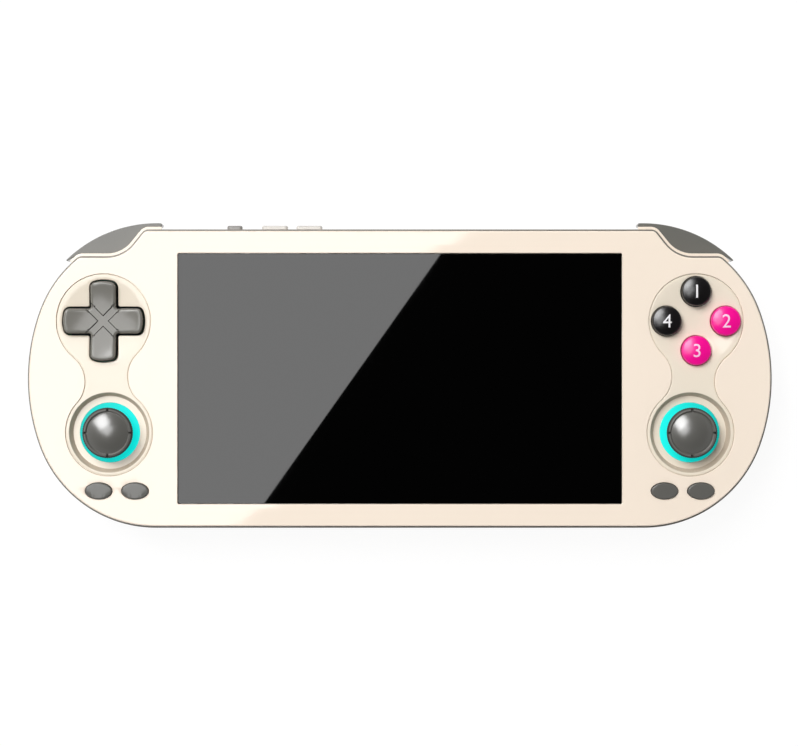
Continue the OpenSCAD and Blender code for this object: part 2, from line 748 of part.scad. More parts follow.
module left_bumper() color("gray") bumper();
module left_trigger() color("gray") trigger();
module left_shoulder_pin() color("silver") shoulder_pin();
module right_bumper() color("dimgray") mirror([1, 0, 0]) bumper();
module right_trigger() color("dimgray") mirror([1, 0, 0]) trigger();
module right_shoulder_pin() color("silver") mirror([1, 0, 0]) shoulder_pin();
switch_y = notch_y - bay_in - bay_wall - 0.4;
switch_box = [3.2, 1.5, 1.8];
plunger_z = switch_box[2] / 2;
plunger_r = 0.6;
plunger_l = bay_wall + 1.5;
module shoulder_switches() color("black") both_sides() for (z = [board_z, under_board_z - switch_box[2]]) {
  translate([-pad_at[0] - switch_box[0] / 2, switch_y - switch_box[1], z]) cube(switch_box);
  translate([-pad_at[0], switch_y - eps, z + plunger_z]) rotate([-90, 0, 0])
    cylinder(r = plunger_r, h = plunger_l);
}

// Keys along the top edge: a cap, a flange inside the wall and a nib on its switch
key_nib = 1.6;
key_switch_w = 4;
key_switch_t = 1.6;
key_switch_d = 5.65;
key_switch_back = 3;
key_switch_y1 = key_shoulder_y - key_switch_back;
key_switch_y0 = key_switch_y1 - key_switch_d;
module box_from(x, y0, y1, w, t) translate([x - w / 2, y0, -t / 2]) cube([w, y1 - y0, t]);
module edge_key(x, w) translate([0, 0, key_z]) {
  box_from(x, key_shoulder_y - 0.5, half_h + key_proud, w, key_t);
  box_from(x, key_shoulder_y - 1, key_shoulder_y, w + 2 * key_flange, key_t + 1);
  box_from(x, key_shoulder_y - 2, key_shoulder_y - 0.5, key_nib, key_nib);
}
module power_button() color("gray") edge_key(power_x, power_w);
module volume_up_button() color("ivory") edge_key(volume_up_x, key_w);
module volume_down_button() color("ivory") edge_key(volume_down_x, key_w);
module key_switches() color("black") for (x = [power_x, volume_up_x, volume_down_x])
  translate([0, 0, board_z + key_switch_t / 2]) {
    box_from(x, key_switch_y0, key_switch_y1, key_switch_w, key_switch_t);
    translate([x, key_switch_y1 - 0.1, 0]) rotate([-90, 0, 0]) cylinder(r = plunger_r, h = 0.65);
  }

// Ports along the bottom edge
tongue = [6.7, 0.7, 6];
module charging_port() color("silver") translate([port_x, port_face_y, port_z]) rotate([-90, 0, 0]) {
  difference() {
    linear_extrude(port_d) stadium(port_w, port_h);
    translate([0, 0, -eps]) linear_extrude(port_d - 1.2)
      stadium(port_w - 2 * port_skin, port_h - 2 * port_skin);
  }
  translate([-tongue[0] / 2, -tongue[1] / 2, 0.6]) cube(tongue);
}
module card_slot() color("silver") translate([card_x, port_face_y, card_z]) difference() {
  translate([-card_w / 2, 0, -card_h / 2]) cube([card_w, card_d, card_h]);
  translate([card_side - card_w / 2, -eps, card_skin - card_h / 2])
    cube([card_w - 2 * card_side, card_d - card_end, card_h - 2 * card_skin]);
}
module headphone_jack() color("black") translate([jack_x, port_face_y, jack_z]) difference() {
  translate([-jack_w / 2, 0, 0.1 - jack_h / 2]) cube([jack_w, jack_d, jack_h]);
  rotate([-90, 0, 0]) translate([0, 0, -1]) cylinder(r = jack_r, h = jack_d + 2);
}
speaker_dip = 0.7;
speaker_z = floor_t + max(back_r - wall, 1) - speaker_dip;
speaker_rise = 2.3;
speaker_top = key_z + speaker_rise;
module speaker() translate([-speaker_x, port_face_y, 0]) difference() {
  translate([-speaker_w / 2, 0, speaker_z]) cube([speaker_w, speaker_d, speaker_top - speaker_z]);
  translate([1 - speaker_w / 2, -eps, key_z - speaker_slot_h / 2])
    cube([speaker_w - 2, 0.8, speaker_slot_h]);
}
module left_speaker() color("black") speaker();
module right_speaker() color("black") mirror([1, 0, 0]) speaker();

module case_screws() color("dimgray") for (p = case_screw_at) translate(p) difference() {
  union() {
    disc(screw_head_r, screw_head_z - screw_head_t, screw_head_z);
    disc(screw_r, screw_head_z - eps, plate_z - screw_tip);
  }
  for (a = [0, 90]) rotate(a) between(screw_head_z - screw_head_t - eps, screw_head_z - screw_head_t / 2)
    square([screw_head_r + 0.1, screw_slot_w], center = true);
}
module board_screws() color("silver") for (p = board_screw_at) translate(p) {
  disc(board_head_r, board_z, board_z + board_head_t);
  disc(board_screw_r, board_screw_z, board_z + eps);
}

front_shell();
rear_shell();
edge_trim();
left_control_plate();
right_control_plate();
screen_lens();
lcd_panel();
lcd_ribbon();
main_board();
processor_shield();
battery();
dpad();
dpad_ball();
dpad_post();
dpad_membrane();
button_north();
button_east();
button_south();
button_west();
action_membrane();
menu_button();
function_button();
select_button();
start_button();
left_oval_membrane();
right_oval_membrane();
left_stick_cap();
left_stick_shaft();
left_stick_gimbal();
left_stick_base();
left_light_ring();
left_led_board();
right_stick_cap();
right_stick_shaft();
right_stick_gimbal();
right_stick_base();
right_light_ring();
right_led_board();
left_bumper();
left_trigger();
left_shoulder_pin();
right_bumper();
right_trigger();
right_shoulder_pin();
shoulder_switches();
power_button();
volume_up_button();
volume_down_button();
key_switches();
charging_port();
card_slot();
headphone_jack();
left_speaker();
right_speaker();
case_screws();
board_screws();
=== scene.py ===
import math

import bmesh
import bpy
from mathutils import Euler, Matrix, Vector
from mathutils.geometry import delaunay_2d_cdt
from mathutils.kdtree import KDTree


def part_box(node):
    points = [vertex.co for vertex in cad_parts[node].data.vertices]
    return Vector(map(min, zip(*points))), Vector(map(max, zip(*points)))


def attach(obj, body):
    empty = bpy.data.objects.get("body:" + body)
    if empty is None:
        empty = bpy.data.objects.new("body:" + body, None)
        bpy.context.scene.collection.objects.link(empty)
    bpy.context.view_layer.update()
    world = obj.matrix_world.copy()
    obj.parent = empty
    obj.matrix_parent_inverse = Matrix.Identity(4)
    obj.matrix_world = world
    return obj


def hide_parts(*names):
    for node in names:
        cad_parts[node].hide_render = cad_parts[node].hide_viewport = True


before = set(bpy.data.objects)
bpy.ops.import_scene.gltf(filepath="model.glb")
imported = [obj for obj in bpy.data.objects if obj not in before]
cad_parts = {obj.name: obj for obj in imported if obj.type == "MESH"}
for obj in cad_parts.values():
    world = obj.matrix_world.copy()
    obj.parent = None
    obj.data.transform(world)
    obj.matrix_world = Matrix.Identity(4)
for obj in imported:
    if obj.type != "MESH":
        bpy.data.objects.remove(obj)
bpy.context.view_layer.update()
scene = bpy.context.scene

# Rear shell: the deep half of the case, injection moulded in cream ABS.
# It carries everything else, and six screws from behind pull the front shell onto it.
MM = 0.001
CREAM = "FCEDDC"


def linear(code):
    """Linear colour of an sRGB hex code."""
    parts = [int(code[i:i + 2], 16) / 255 for i in (0, 2, 4)]
    return [c / 12.92 if c <= 0.04045 else ((c + 0.055) / 1.055) ** 2.4 for c in parts] + [1]


def add(tree, kind, inputs=None, **settings):
    """Adds one node, with its settings, its input values and its links."""
    node = tree.nodes.new("ShaderNode" + kind)
    for name, value in settings.items():
        setattr(node, name, value)
    for socket, value in (inputs or {}).items():
        if isinstance(value, bpy.types.NodeSocket):
            tree.links.new(value, node.inputs[socket])
        else:
            node.inputs[socket].default_value = value
    return node


def surface(name, colour, drift, patch, roughness, grain, relief, **shader):
    """A finish whose colour drifts over patches, and whose roughness and relief follow a grain, in mm."""
    material = bpy.data.materials.new(name)
    material.use_nodes = True
    tree = material.node_tree
    tree.nodes.clear()
    place = add(tree, "TexCoord").outputs["Object"]
    patches = add(tree, "TexNoise", {"Vector": place, "Scale": 1 / (patch * MM), "Detail": 3})
    darker, lighter = ([c * k for c in linear(colour)[:3]] + [1] for k in (1 - drift, 1 + drift))
    tint = add(tree, "Mix", {0: patches.outputs["Fac"], 6: darker, 7: lighter}, data_type="RGBA")
    grains = add(tree, "TexNoise", {"Vector": place, "Scale": 1 / (grain * MM), "Detail": 2})
    trough, crest = 0.3, 0.7
    sheen = add(tree, "MapRange", {
        0: grains.outputs["Fac"], 1: trough, 2: crest, 3: roughness[0], 4: roughness[1]})
    bump = add(tree, "Bump", {"Height": grains.outputs["Fac"], "Distance": relief * MM})
    inputs = {socket.replace("_", " "): value for socket, value in shader.items()}
    inputs.update({
        "Base Color": tint.outputs[2], "Roughness": sheen.outputs[0], "Normal": bump.outputs[0]})
    bsdf = add(tree, "BsdfPrincipled", inputs)
    add(tree, "OutputMaterial", {"Surface": bsdf.outputs[0]})
    return material


def dress(material, *nodes):
    """Gives CAD nodes a finish."""
    for node in nodes:
        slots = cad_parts[node].data.materials
        slots.clear()
        slots.append(material)


def smooth(obj, angle):
    """Shades an object smoothly, with its edges above an angle kept crisp."""
    weld = obj.modifiers.new("weld", "WELD")
    weld.merge_threshold = 0.002 * MM
    split = obj.modifiers.new("crisp", "EDGE_SPLIT")
    split.split_angle = math.radians(angle)
    obj.modifiers.new("normals", "WEIGHTED_NORMAL").keep_sharp = True


# ABS from a polished tool: a clear sharp reflection over a body colour that hardly varies.
# The tool's own marks are too fine to show, so the skin's waviness is drawn 1.6 mm wide.
cream_abs = surface(
    "cream_abs_polished", CREAM, drift=0.012, patch=14,
    roughness=(0.035, 0.05), grain=1.6, relief=0.0004, IOR=1.57)
dress(cream_abs, "rear_shell")
smooth(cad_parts["rear_shell"], angle=28)

# Pieces inside the case: boards, battery, shield, ribbon and switches, seated on the rear shell.
# They are stock electronics, so they keep the maker's usual solder mask, foil and tinned steel.
# Solder mask over fibreglass: deep green, a little cloudy, with a soft sheen
board_mask = surface(
    "fibreglass_solder_mask", "1E5A3A", drift=0.12, patch=2.5,
    roughness=(0.25, 0.4), grain=0.3, relief=0.004)
# Rolled and tinned steel: a pale metal with a blurred mirror
tinned = surface(
    "tinned_steel_rolled", "C6C8C5", drift=0.05, patch=1.5,
    roughness=(0.22, 0.36), grain=0.25, relief=0.002, Metallic=1)
# Black oxide on steel: a nearly black metal with a dull glint
dark_steel = surface(
    "black_oxide_steel", "2B2B2C", drift=0.1, patch=0.8,
    roughness=(0.3, 0.45), grain=0.2, relief=0.003, Metallic=1)
# Laminated aluminium foil: pale grey, finely crinkled
cell_foil = surface(
    "aluminium_pouch_foil", "B9BBBC", drift=0.06, patch=4,
    roughness=(0.28, 0.42), grain=0.5, relief=0.006, Metallic=0.9)
# Cast polyimide film: glossy amber
polyimide = surface(
    "polyimide_film", "C07A1E", drift=0.08, patch=2,
    roughness=(0.2, 0.3), grain=0.3, relief=0.002, IOR=1.7)
# Moulded silicone: slate grey, dull and soft
silicone = surface(
    "silicone_rubber_moulded", "3C4246", drift=0.06, patch=1.5,
    roughness=(0.55, 0.7), grain=0.15, relief=0.003, IOR=1.42)
# Moulded nylon: black with a faint satin
black_plastic = surface(
    "black_nylon_moulded", "161617", drift=0.15, patch=1.2,
    roughness=(0.35, 0.5), grain=0.12, relief=0.003)
# Moulded acetal: milky white and waxy
white_acetal = surface(
    "white_acetal_moulded", "ECEBE6", drift=0.02, patch=2,
    roughness=(0.25, 0.35), grain=0.2, relief=0.002)
# Polariser film on a dark panel: black with a soft sheen
display = surface(
    "display_polariser", "050506", drift=0.2, patch=6,
    roughness=(0.15, 0.22), grain=0.2, relief=0.001)
dress(board_mask, "main_board", "left_led_board", "right_led_board")
dress(tinned, "processor_shield", "board_screws", "left_shoulder_pin", "right_shoulder_pin")
dress(tinned, "left_stick_base", "right_stick_base", "left_stick_shaft", "right_stick_shaft")
dress(cell_foil, "battery")
dress(polyimide, "lcd_ribbon")
dress(display, "lcd_panel")
dress(silicone, "dpad_membrane", "action_membrane", "left_oval_membrane", "right_oval_membrane")
dress(black_plastic, "shoulder_switches", "key_switches", "left_speaker", "right_speaker")
dress(black_plastic, "left_stick_gimbal", "right_stick_gimbal")
dress(white_acetal, "dpad_ball", "dpad_post")

# Ports along the bottom edge: drawn steel shells soldered to the board behind the case wall.
# The case screws behind are black steel with a cross recess, sunk below the back face.
dress(tinned, "charging_port", "card_slot")
dress(black_plastic, "headphone_jack")
dress(dark_steel, "case_screws")

# Shoulder lips: a thin rib of the rear shell along each shoulder notch, under the edge trim.
# It hides the inner edge of the shoulder buttons and shows as a pale band round the notch.
trim_low, trim_high = (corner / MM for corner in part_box("edge_trim"))
half_w = trim_high.x
half_h = trim_high.y
end_r = 50
corner_r = 31
end_x = half_w - end_r
corner_y = half_h - corner_r
corner_x = end_x + math.sqrt((end_r - corner_r) ** 2 - corner_y ** 2)
join_a = math.degrees(math.atan2(corner_y, corner_x - end_x))
left_corner = (-corner_x, corner_y)
notch_drop, notch_x = 6.7, 19.8
notch_y = half_h - notch_drop
hollow_r = 8.5
slope_a = 51.4
tail_r = 2.2
crown_r = 2
hollow_c = (notch_x - half_w, notch_y + hollow_r)
tail_y = notch_y - tail_r
tail_c = (-corner_x - math.sqrt((corner_r - tail_r) ** 2 - (tail_y - corner_y) ** 2), tail_y)
tail_a = math.degrees(math.atan2(tail_c[1] - corner_y, tail_c[0] + corner_x))


def arc(centre, radius, start, end, count):
    """Points on an arc between two angles in degrees."""
    turns = [math.radians(start + (end - start) * i / count) for i in range(count + 1)]
    return [(centre[0] + radius * math.cos(a), centre[1] + radius * math.sin(a)) for a in turns]


def spot(centre, radius, angle):
    """The point at a radius and an angle in degrees from a centre."""
    return arc(centre, radius, angle, angle, 1)[0]


def on_slope(off, y):
    """The point at height y on the notch's slope, moved out of the case by off."""
    start = spot(hollow_c, hollow_r - off, slope_a - 90)
    return start[0] + (y - start[1]) / math.tan(math.radians(slope_a)), y


def bearing(a, b):
    """Angle in degrees of the way from a to b."""
    return math.degrees(math.atan2(b[1] - a[1], b[0] - a[0]))


def tidy(loop):
    """A loop without repeated points."""
    nearest = 0.002
    return [p for p, q in zip(loop, loop[1:] + loop[:1]) if math.dist(p, q) > nearest]


def mirrored(loop):
    """A loop on the other side of the case, still counter-clockwise."""
    return [(-x, y) for x, y in reversed(loop)]


def inset(loop, depth):
    """A counter-clockwise loop moved inwards by depth, mitred at its corners."""
    mitre_limit = 0.3
    shifted = []
    for before, here, after in zip(loop[-1:] + loop[:-1], loop, loop[1:] + loop[:1]):
        normals = []
        for a, b in ((before, here), (here, after)):
            length = math.dist(a, b)
            normals.append(((a[1] - b[1]) / length, (b[0] - a[0]) / length))
        (ax, ay), (bx, by) = normals
        k = depth / max(1 + ax * bx + ay * by, mitre_limit)
        shifted.append((here[0] + k * (ax + bx), here[1] + k * (ay + by)))
    return shifted


def rounded(low, high, under, over, steps=5):
    """Rim profile of (inset, height) pairs, with its lower and upper edges rounded."""
    turns = [math.radians(90 * i / steps) for i in range(steps + 1)]
    lower = [(under * (1 - math.sin(a)), low + under * (1 - math.cos(a))) for a in turns]
    upper = [(over * (1 - math.cos(a)), high - over * (1 - math.sin(a))) for a in turns]
    return (lower if under else [(0, low)]) + (upper if over else [(0, high)])


def within(point, loop):
    """Whether a point lies inside a loop."""
    x, y = point
    crossings = 0
    for (ax, ay), (bx, by) in zip(loop, loop[1:] + loop[:1]):
        if (ay > y) != (by > y) and x < ax + (y - ay) * (bx - ax) / (by - ay):
            crossings += 1
    return crossings % 2 == 1


def filled(rims, height, spacing, creases):
    """Triangles between an outer rim and its holes, with grid points where the face is to bend."""
    points = [p for rim in rims for p in rim]
    edges = []
    for rim in rims:
        first = len(edges)
        edges += [(first + i, first + (i + 1) % len(rim)) for i in range(len(rim))]
    for line in creases:
        edges += [(len(points) + i, len(points) + i + 1) for i in range(len(line) - 1)]
        points = points + line
    if spacing:
        near = KDTree(len(points))
        for i, (x, y) in enumerate(points):
            near.insert((x, y, 0), i)
        near.balance()
        xs, ys = zip(*rims[0])
        for i in range(int((max(xs) - min(xs)) / spacing) + 1):
            for j in range(int((max(ys) - min(ys)) / spacing) + 1):
                p = (min(xs) + (i + 0.5 * (j % 2)) * spacing, min(ys) + j * spacing)
                if near.find((*p, 0))[2] > 0.5 * spacing and within(p, rims[0]):
                    points.append(p)
    inside_only, touching = 1, 1e-4
    flat, _, triangles, _, _, _ = delaunay_2d_cdt(
        [Vector(p) for p in points], edges, [], inside_only, touching)
    kept = []
    for triangle in triangles:
        middle = sum((flat[i] for i in triangle), Vector((0, 0))) / len(triangle)
        if within(middle, rims[0]) and not any(within(middle, hole) for hole in rims[1:]):
            kept.append(triangle)
    return [(p.x, p.y, height) for p in flat], kept


def finished_mesh(name, points, faces, bend=None):
    """A mesh in metres from points in mm, bent if asked, with seams merged and normals outwards."""
    if bend:
        points = [(x, y, bend(x, y, z)) for x, y, z in points]
    mesh = bpy.data.meshes.new(name)
    mesh.from_pydata([[c * MM for c in p] for p in points], [], faces)
    solid = bmesh.new()
    solid.from_mesh(mesh)
    bmesh.ops.remove_doubles(solid, verts=solid.verts, dist=0.001 * MM)
    loose = [v for v in solid.verts if not v.link_faces]
    bmesh.ops.delete(solid, geom=loose, context="VERTS")
    bmesh.ops.recalc_face_normals(solid, faces=solid.faces)
    solid.to_mesh(mesh)
    solid.free()
    return mesh


def moulding(name, outer, holes=(), bend=None, spacing=None, creases=()):
    """A closed moulding. Each loop comes with its rim profile, from the lower face to the upper one."""
    points, faces, lower, upper = [], [], [], []
    for loop, profile in [outer, *holes]:
        rings = [inset(loop, depth) for depth, _ in profile]
        first, count = len(points), len(loop)
        for ring, (_, z) in zip(rings, profile):
            points += [(x, y, z) for x, y in ring]
        for k in range(len(rings) - 1):
            for i in range(count):
                a = first + k * count + i
                b = first + k * count + (i + 1) % count
                faces.append((a, b, b + count, a + count))
        lower.append(rings[0])
        upper.append(rings[-1])
    low_z, high_z = (outer[1][end][1] for end in (0, -1))
    for rims, height, gap, lines in ((lower, low_z, None, ()), (upper, high_z, spacing, creases)):
        more, triangles = filled(rims, height, gap, lines)
        faces += [[i + len(points) for i in triangle] for triangle in triangles]
        points += more
    return finished_mesh(name, points, faces, bend)


def fit(mesh, material, body, slot, *nodes):
    """Puts a piece on the object: its finish, its shading and the body it rides on; the CAD nodes that it
    stands for are hidden.
    """
    piece = bpy.data.objects.new(mesh.name, mesh)
    scene.collection.objects.link(piece)
    mesh.materials.append(material)
    mesh.polygons.foreach_set("use_smooth", [True] * len(mesh.polygons))
    crisp_from = math.radians(38)
    mesh.set_sharp_from_angle(angle=crisp_from)
    piece.modifiers.new("normals", "WEIGHTED_NORMAL").keep_sharp = True
    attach(piece, body)
    if nodes:
        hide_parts(*nodes)


def notch_line(depth):
    """Left shoulder notch from its crown to its tail, moved into the case by depth."""
    crown = crown_r - depth
    lift = half_h - depth - crown * (1 - math.cos(math.radians(slope_a)))
    crown_c = (on_slope(-depth, lift)[0] + crown * math.sin(math.radians(slope_a)), half_h - crown_r)
    return (
        arc(crown_c, crown, 90, 90 + slope_a, 10)
        + arc(hollow_c, hollow_r + depth, slope_a - 90, -90, 18)
        + arc(tail_c, tail_r - depth, 90, tail_a, 8))


lip_w, lip_t, lip_in = 0.72, 0.8, 0.3
lip_run, lip_tail_a = 3.2, 3.2
lip_clear, lip_round = 0.01, 0.1


def lip_edge(depth):
    """Edge of a left shoulder lip: along the top edge, round the notch and on along the corner."""
    line = notch_line(depth)
    tail = arc(left_corner, corner_r - depth, tail_a, tail_a + lip_tail_a, 6)
    return [(line[0][0] + lip_run, line[0][1])] + line + tail[1:]


lip = tidy(lip_edge(-lip_w) + lip_edge(lip_in)[::-1])
lip_profile = rounded(trim_low.z - lip_t, trim_low.z - lip_clear, 0, lip_round, steps=3)
for side, points in (("left", lip), ("right", mirrored(lip))):
    fit(moulding(f"{side}_notch_lip", (points, lip_profile)), cream_abs, "console_body", "cream_shell")

# Shoulder buttons: a bumper over a trigger at each top corner, moulded in grey ABS.
# Both turn on one steel pin, with their inner edge tucked under the case's lip.
GREY = "6F6E69"
shelf_clear = 0.7
shelf_a = bearing(left_corner, on_slope(lip_w, half_h + shelf_clear))


def shoulder_loop(radius, heel_a, end_a):
    """Crescent of a left shoulder button, from its outer arc round its tail to its tucked inner edge."""
    tuck, heel_drop, tip_t, tail_clear = 0.9, 1.6, 0.35, 1
    thin = radius - tip_t
    shelf_r = min(corner_r + shelf_clear, thin)
    heel_r = (radius - shelf_r) / 2
    inner_heel_a = heel_a + math.degrees(heel_r / shelf_r)
    return tidy(
        arc(spot(left_corner, radius - heel_r, inner_heel_a), heel_r, heel_a - 180, heel_a, 10)
        + arc(left_corner, radius, inner_heel_a, end_a, 48)
        + [spot(left_corner, thin, end_a)]
        + [spot(left_corner, min(corner_r + tail_clear, thin), tail_a + (end_a - tail_a) / 4)]
        + arc(tail_c, tail_r - tuck, tail_a, 90, 6)
        + arc(hollow_c, hollow_r + tuck, -90, slope_a - 90, 20)
        + [on_slope(-tuck, half_h - heel_drop)]
        + arc(left_corner, shelf_r, shelf_a, inner_heel_a, 12))


# ABS from a lightly sparked tool: a satin body with a soft, still clear reflection
grey_abs = surface(
    "grey_abs_satin", GREY, drift=0.025, patch=5,
    roughness=(0.1, 0.14), grain=0.5, relief=0.0006, IOR=1.45)
shoulder_edge = 0.16
# The outer arcs keep this far inside the CAD part's own
skin = 0.002
bumper_proud, bumper_heel_a, bumper_past_a = 1.7, 87.6, 4.4
trigger_proud, trigger_back_a, trigger_past_a = 0.9, 2, 1
for kind, proud, heel_a, end_a in (
        ("bumper", bumper_proud, bumper_heel_a, tail_a + bumper_past_a),
        ("trigger", trigger_proud, shelf_a - trigger_back_a, tail_a + trigger_past_a)):
    low, high = (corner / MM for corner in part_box(f"left_{kind}"))
    loop = shoulder_loop(corner_r + proud - skin, heel_a, end_a)
    profile = rounded(low.z, high.z, shoulder_edge, shoulder_edge)
    for side, points, slot in (("left", loop, "grey_button"), ("right", mirrored(loop), "dark_button")):
        name = f"{side}_{kind}"
        fit(moulding(name + "_cap", (points, profile)), grey_abs, name, slot, name)

# Edge keys: one short power key and two long volume keys through the top edge, moulded in ABS.
# Each is a bar with rounded ends that is held by a flange behind the wall.
POWER_GREY = "888683"
VOLUME_GREY = "CBC8C3"
key_flange_x, key_flange_z, key_flange_t = 0.8, 0.5, 1
key_r, key_edge = 0.7, 0.35
lying = Matrix.Rotation(-math.pi / 2, 4, "X")
for node, slot, tone in (
        ("power_button", "grey_button", POWER_GREY),
        ("volume_up_button", "cream_key", VOLUME_GREY), ("volume_down_button", "cream_key", VOLUME_GREY)):
    low, high = (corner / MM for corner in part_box(node))
    middle_x, middle_z = (low.x + high.x) / 2, (low.z + high.z) / 2
    width, thick = high.x - low.x - 2 * key_flange_x, high.z - low.z - 2 * key_flange_z
    bar = tidy([
        p for k, (sx, sz) in enumerate(((1, -1), (1, 1), (-1, 1), (-1, -1)))
        for p in arc((sx * (width / 2 - key_r), sz * (thick / 2 - key_r)), key_r, 90 * k - 90, 90 * k, 6)])
    mesh = moulding(node + "_bar", (bar, rounded(low.y + key_flange_t, high.y, 0, key_edge)))
    mesh.transform(Matrix.Translation((middle_x * MM, 0, middle_z * MM)) @ lying)
    # ABS from a sparked tool: satin, with one soft highlight along the bar
    key_abs = surface(
        f"{node}_abs_satin", tone, drift=0.02, patch=3,
        roughness=(0.18, 0.24), grain=0.3, relief=0.001, IOR=1.5)
    fit(mesh, key_abs, node, slot, node)

# Sticks: a domed cap on a steel shaft, over a gimbal and base that stand on the main board.
# The cap is moulded in soft-touch rubber, with a groove round its dome and four notches across its rim.
# A knurled tyre is bonded round it, coloured near black as painted shade for the cap's shaded side wall.
CAP = "605F5B"
# Near black: painted shade for the cap's shaded side wall
CAP_SIDE_SHADE = "2C2B28"


def turned(name, profile, centre, angles=None, shape=None, closed=False):
    """A turned piece: a profile of (radius, height) pairs spun round an upright axis."""
    facet_a = 3
    angles = angles or range(0, 360, facet_a)
    points, faces = [], []
    count = len(angles)
    for spun_r, spun_z in profile:
        for angle in angles:
            r, z = shape(angle, spun_r, spun_z) if shape else (spun_r, spun_z)
            points.append((*spot((0, 0), r, angle), z))
    rows = len(profile)
    for k in range(rows if closed else rows - 1):
        for i in range(count):
            a, b = k * count, (k + 1) % rows * count
            j = (i + 1) % count
            faces.append((a + i, a + j, b + j, b + i))
    points = [(x + centre[0], y + centre[1], z) for x, y, z in points]
    return finished_mesh(name, points, faces)


cap_low, cap_high = (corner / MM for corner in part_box("right_stick_cap"))
cap_r = (cap_high.x - cap_low.x) / 2
cap_top = cap_high.z
stick_at = ((cap_low.x + cap_high.x) / 2, (cap_low.y + cap_high.y) / 2)
rim_drop, rim_t, rim_fall, rim_ease, rim_knee = 0.8, 1.5, 0.3, 0.08, 0.7
rim_top = cap_top - rim_drop
rim_low = rim_top - rim_t
dome_r, dome_sphere, dome_steps = 5.1, 11, 12
pivot_drop = 7.3
pivot_z = rim_low - pivot_drop
tyre_t, tyre_edge = 0.4, 0.18
rim_r = cap_r - tyre_t
groove_w, groove_t, groove_ease = 0.34, 0.5, 0.06
notch_depth, notch_half_a = 0.9, 3.2
neck_r, socket_r, socket_t = 2.4, 1.52, 0.7
skirt_r, skirt_hollow_r = 5.9, 5.2
under_rim = 0.1


def skirt_line(radius, angles):
    """Profile of the cap's skirt, on a sphere round the stick's pivot."""
    turns = [math.radians(a) for a in angles]
    return [(radius * math.sin(a), pivot_z + radius * math.cos(a)) for a in turns]


dome = [(x, cap_top - dome_sphere + math.sqrt(dome_sphere ** 2 - x * x))
        for x in (dome_r * (dome_steps - i) / dome_steps for i in range(dome_steps + 1))]
skirt = skirt_line(skirt_r, range(62, 23, -3))
inner = skirt_line(skirt_hollow_r, range(17, 63, 5))
rim = [(rim_r, rim_low), (rim_r, rim_top - rim_fall), (rim_r - rim_ease, rim_top - rim_knee * rim_fall)]
cap_profile = (
    [(0, rim_low + socket_t), (socket_r, rim_low + socket_t)] + inner + skirt + [(neck_r, rim_low)] + rim
    + [(dome_r + groove_w + groove_ease, rim_top), (dome_r + groove_w, rim_top - groove_ease)]
    + [(dome_r + groove_ease, rim_top - groove_t)] + dome)
cap_facet_a = 4
notch_edges = (-notch_half_a, 0, notch_half_a)
notch_angles = {(90 * k + d) % 360 for k in range(4) for d in notch_edges}
cap_angles = sorted(set(range(0, 360, cap_facet_a)) | notch_angles)


def notched(angle, r, z):
    """Lowers the cap's rim at its four notches."""
    beside = abs((angle + 45) % 90 - 45)
    on_rim = r > dome_r + groove_w / 2 and z > rim_low + under_rim
    return r, z - notch_depth * max(1 - beside / notch_half_a, 0) if on_rim else z


tyre_profile = [(rim_r, rim_low), (cap_r - tyre_edge, rim_low), (cap_r, rim_low + tyre_edge)]
tyre_profile += [(cap_r, rim_top - 2 * rim_fall), (rim_r, rim_top - rim_fall)]
knurl_t, knurl_a = 0.09, 2.5
knurls = [knurl_a * i for i in range(round(360 / knurl_a))]


def knurled(angle, r, z):
    """Draws in every other facet of the tyre's outer face."""
    return r - knurl_t if r > cap_r - tyre_edge / 2 and round(angle / knurl_a) % 2 else r, z


# Soft-touch rubber: satin and slightly greasy, with one broad highlight
soft_touch = surface(
    "soft_touch_rubber", CAP, drift=0.03, patch=2.5,
    roughness=(0.22, 0.27), grain=0.12, relief=0.0008, IOR=2)
# Painted shade: a nearly black, quite dull rubber, so that the tyre draws a dark line round the cap where its
# side wall lies in shade
painted_shade_rubber = surface(
    "cap_side_painted_shade", CAP_SIDE_SHADE, drift=0.06, patch=1.5,
    roughness=(0.5, 0.6), grain=0.1, relief=0.001, IOR=1.5)
for side, sign in (("left", -1), ("right", 1)):
    centre = (sign * stick_at[0], stick_at[1])
    cap = turned(f"{side}_stick_dome", cap_profile, centre, cap_angles, notched)
    fit(cap, soft_touch, f"{side}_stick", "cap", f"{side}_stick_cap")
    # The tyre's near-black colour is painted shade for the cap's side wall
    tyre = turned(f"{side}_stick_shade_tyre", tyre_profile, centre, knurls, knurled, closed=True)
    fit(tyre, painted_shade_rubber, f"{side}_stick", "cap")

# Edge trim: a dark band clamped between the shells, which shows as a thin line round the face.
# It is moulded in grey ABS and follows the case's outline, shoulder notches included.
TRIM = "77736B"


def case_loop(depth):
    """Outline of the case moved inwards by depth: end arcs, corner arcs, and a notch at each shoulder."""
    half = (
        notch_line(depth)
        + arc(left_corner, corner_r - depth, tail_a, 180 - join_a, 24)
        + arc((-end_x, 0), end_r - depth, 180 - join_a, 180 + join_a, 32)
        + arc((-corner_x, -corner_y), corner_r - depth, 180 + join_a, 270, 48))
    # A far point after the open half keeps its last point from counting as a repeat
    far_point = (0, -2 * half_h)
    half = tidy(half + [far_point])[:-1]
    return half + mirrored(half)


# ABS from a sparked tool: it stays dull beside the polished shells, so it reads as a drawn line
trim_abs = surface(
    "dark_grey_abs_satin", TRIM, drift=0.04, patch=4,
    roughness=(0.2, 0.28), grain=0.4, relief=0.001, IOR=1.5)
trim_w, trim_under, trim_over = 1.6, 0.15, 0.2
trim_z = (trim_low.z, trim_high.z)
trim_outer = (case_loop(0), rounded(*trim_z, trim_under, trim_over))
trim_inner = (case_loop(trim_w), [(0, z) for z in trim_z])
fit(moulding("edge_band", trim_outer, [trim_inner]), trim_abs, "console_body", "dark_trim", "edge_trim")

